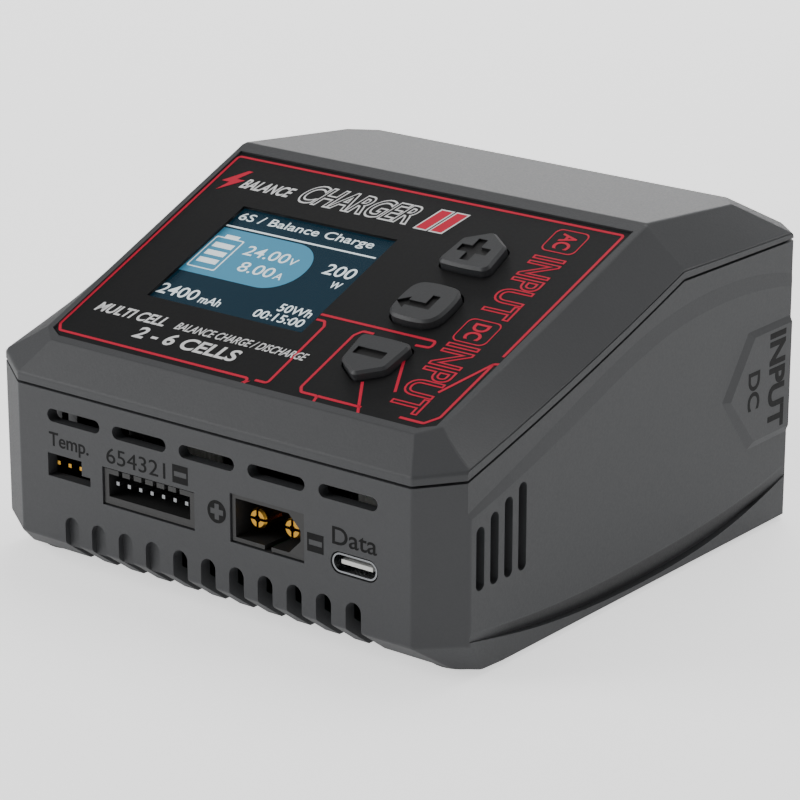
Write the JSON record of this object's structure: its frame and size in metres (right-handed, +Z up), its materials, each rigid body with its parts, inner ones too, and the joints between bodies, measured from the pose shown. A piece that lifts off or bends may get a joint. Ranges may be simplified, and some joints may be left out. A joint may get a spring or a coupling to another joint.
{
  "type": "balance battery charger",
  "caption": "Desktop balance battery charger: wedge-shaped grey case with a sloping labelled panel, display and push keys, front sockets and vents, and a rear fan and inlets.",
  "frame": {"origin": "centre of the bounding box, on the surface the rubber feet stand on", "axes": "+X to the right seen from the front, +Y from the sockets at the front to the fan at the back, +Z up"},
  "size_m": [0.099, 0.101, 0.0604],
  "materials": {
    "moulded_grey": "fine satin moulding texture",
    "label_film": "smooth printed polyester film",
    "key_grey": "satin",
    "clear_window": "clear polished",
    "display_glass": "dark display glass",
    "black_plastic": "satin",
    "white_plastic": "satin",
    "board_green": "solder mask",
    "gold_plated": "gold plated contacts",
    "zinc_steel": "zinc plated",
    "aluminium": "extruded",
    "copper_winding": "enamelled copper",
    "ferrite": "pressed ferrite",
    "rubber": "moulded",
    "fuse_glass": "clear",
    "ribbon_film": "flat cable film"
  },
  "bodies": {
    "case": {"lower_housing": "moulded_grey", "top_cover": "moulded_grey", "label_panel": "label_film", "display_window": "clear_window", "lcd_glass": "display_glass", "lcd_frame": "black_plastic", "control_board": "board_green", "control_board_screws": "zinc_steel", "switch_bodies": "black_plastic", "main_board": "board_green", "main_board_screws": "zinc_steel", "balance_socket": "black_plastic", "balance_pins": "gold_plated", "output_socket": "black_plastic", "output_pins": "gold_plated", "temp_socket": "black_plastic", "temp_pins": "gold_plated", "usb_shell": "zinc_steel", "usb_tongue": "white_plastic", "power_transistors": "black_plastic", "heat_sink": "aluminium", "power_inductors": "ferrite", "board_capacitors": "aluminium", "controller_chip": "black_plastic", "buzzer": "black_plastic", "lead_plug": "white_plastic", "ribbon_sockets": "white_plastic", "ribbon_cable": "ribbon_film", "power_board": "board_green", "power_board_screws": "zinc_steel", "transformer_core": "ferrite", "transformer_winding": "copper_winding", "bulk_capacitor": "aluminium", "bridge_rectifier": "black_plastic", "x_capacitor": "black_plastic", "fuse_tube": "fuse_glass", "fuse_caps": "zinc_steel", "power_heat_sink": "aluminium", "rectifier": "black_plastic", "ac_inlet": "black_plastic", "ac_pins": "zinc_steel", "dc_inlet": "black_plastic", "dc_pins": "gold_plated", "fan_frame": "black_plastic", "fan_bearing": "copper_winding", "fan_stator": "ferrite", "fan_screws": "zinc_steel", "case_screws": "zinc_steel", "rubber_feet": "rubber"},
    "plus_key": {"plus_button": "key_grey", "plus_plunger": "black_plastic"},
    "enter_key": {"enter_button": "key_grey", "enter_plunger": "black_plastic"},
    "minus_key": {"minus_button": "key_grey", "minus_plunger": "black_plastic"},
    "fan_wheel": {"fan_rotor": "black_plastic", "fan_magnet": "ferrite", "fan_shaft": "zinc_steel"}
  },
  "joints": [
    {"name": "plus_press", "type": "slide", "parent": "case", "child": "plus_key", "axis": [0, 0.3681, -0.9298], "range_m": [0, 0.0006], "stiffness_N_per_m": 500, "springref_m": -0.0008},
    {"name": "enter_press", "type": "slide", "parent": "case", "child": "enter_key", "axis": [0, 0.3681, -0.9298], "range_m": [0, 0.0006], "stiffness_N_per_m": 500, "springref_m": -0.0008},
    {"name": "minus_press", "type": "slide", "parent": "case", "child": "minus_key", "axis": [0, 0.3681, -0.9298], "range_m": [0, 0.0006], "stiffness_N_per_m": 500, "springref_m": -0.0008},
    {"name": "fan_spin", "type": "hinge", "parent": "case", "child": "fan_wheel", "pos_m": [0.017, 0.0425, 0.0265], "axis": [0, 1, 0], "continuous": true}
  ]
}
